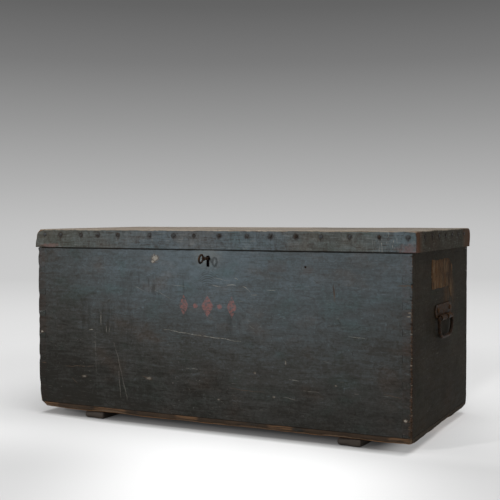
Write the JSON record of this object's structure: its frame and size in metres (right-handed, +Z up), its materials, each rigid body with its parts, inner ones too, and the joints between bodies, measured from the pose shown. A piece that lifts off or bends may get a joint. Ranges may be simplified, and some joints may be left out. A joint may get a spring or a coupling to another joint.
{
  "type": "joiners tool chest",
  "caption": "Dovetailed joiner's tool chest on skids, with a rimmed lid on butt hinges, a box lock and key, drop handles on its ends and sliding tills inside.",
  "frame": {"origin": "bottom centre of the box that holds the whole chest, on the floor under its two skids", "axes": "+X along the chest to the right as seen from the front, +Y from the front board to the back board, +Z up; the front with the keyhole faces -Y"},
  "size_m": [1.0452, 0.5404, 0.4863],
  "materials": {
    "painted_wood": "worn satin paint",
    "worn_wood": "bare, dirty and scuffed",
    "bare_pine": "bare, planed and darkened",
    "rusty_iron": "rusted",
    "dark_steel": "dull, filed"
  },
  "bodies": {
    "chest": {"front_board": "painted_wood", "back_board": "painted_wood", "left_end_board": "painted_wood", "right_end_board": "painted_wood", "bottom_board_front": "worn_wood", "bottom_board_middle": "worn_wood", "bottom_board_back": "worn_wood", "left_skid": "worn_wood", "right_skid": "worn_wood", "upper_runner_left": "bare_pine", "upper_runner_right": "bare_pine", "lower_runner_left": "bare_pine", "lower_runner_right": "bare_pine", "hinge_left_lower_leaf": "dark_steel", "hinge_left_pin": "dark_steel", "hinge_middle_lower_leaf": "dark_steel", "hinge_middle_pin": "dark_steel", "hinge_right_lower_leaf": "dark_steel", "hinge_right_pin": "dark_steel", "lock_case": "rusty_iron", "lock_cap": "rusty_iron", "lock_drill_pin": "dark_steel", "lock_ward": "dark_steel", "left_handle_plate": "rusty_iron", "right_handle_plate": "rusty_iron", "left_handle_rivet_front": "rusty_iron", "left_handle_rivet_back": "rusty_iron", "right_handle_rivet_front": "rusty_iron", "right_handle_rivet_back": "rusty_iron"},
    "lid": {"lid_front_rim": "painted_wood", "lid_back_rim": "painted_wood", "lid_left_rim": "painted_wood", "lid_right_rim": "painted_wood", "lid_board_front": "painted_wood", "lid_board_middle": "painted_wood", "lid_board_back": "painted_wood", "lid_cleat_left": "bare_pine", "lid_cleat_right": "bare_pine", "hinge_left_upper_leaf": "dark_steel", "hinge_middle_upper_leaf": "dark_steel", "hinge_right_upper_leaf": "dark_steel", "lock_link_plate": "rusty_iron"},
    "left_bail": {"left_bail": "rusty_iron"},
    "right_bail": {"right_bail": "rusty_iron"},
    "key": {"key": "rusty_iron"},
    "lock_bolt": {"lock_bolt": "dark_steel"},
    "upper_till": {"upper_till_front": "bare_pine", "upper_till_back": "bare_pine", "upper_till_left_end": "bare_pine", "upper_till_right_end": "bare_pine", "upper_till_bottom": "bare_pine"},
    "lower_till": {"lower_till_front": "bare_pine", "lower_till_back": "bare_pine", "lower_till_left_end": "bare_pine", "lower_till_right_end": "bare_pine", "lower_till_bottom": "bare_pine"}
  },
  "joints": [
    {"name": "lid_hinge", "type": "hinge", "parent": "chest", "child": "lid", "pos_m": [0, 0.26575, 0.4389], "axis": [-1, 0, 0], "range_deg": [0, 100]},
    {"name": "left_bail_swing", "type": "hinge", "parent": "chest", "child": "left_bail", "pos_m": [-0.51545, 0.02375, 0.2786], "axis": [0, 1, 0], "range_deg": [0, 165]},
    {"name": "right_bail_swing", "type": "hinge", "parent": "chest", "child": "right_bail", "pos_m": [0.51545, 0.02375, 0.2786], "axis": [0, -1, 0], "range_deg": [0, 165]},
    {"name": "key_turn", "type": "hinge", "parent": "chest", "child": "key", "pos_m": [0.002, -0.22425, 0.4186], "axis": [0, 1, 0], "range_deg": [0, 360]},
    {"name": "bolt_slide", "type": "slide", "parent": "chest", "child": "lock_bolt", "axis": [1, 0, 0], "range_m": [0, 0.012]},
    {"name": "upper_till_slide", "type": "slide", "parent": "chest", "child": "upper_till", "axis": [0, -1, 0], "range_m": [0, 0.238]},
    {"name": "lower_till_slide", "type": "slide", "parent": "chest", "child": "lower_till", "axis": [0, -1, 0], "range_m": [0, 0.238]}
  ],
  "couplings": [
    {"joint": "key_turn", "follows": "bolt_slide", "rad_per_m": 523.5}
  ]
}
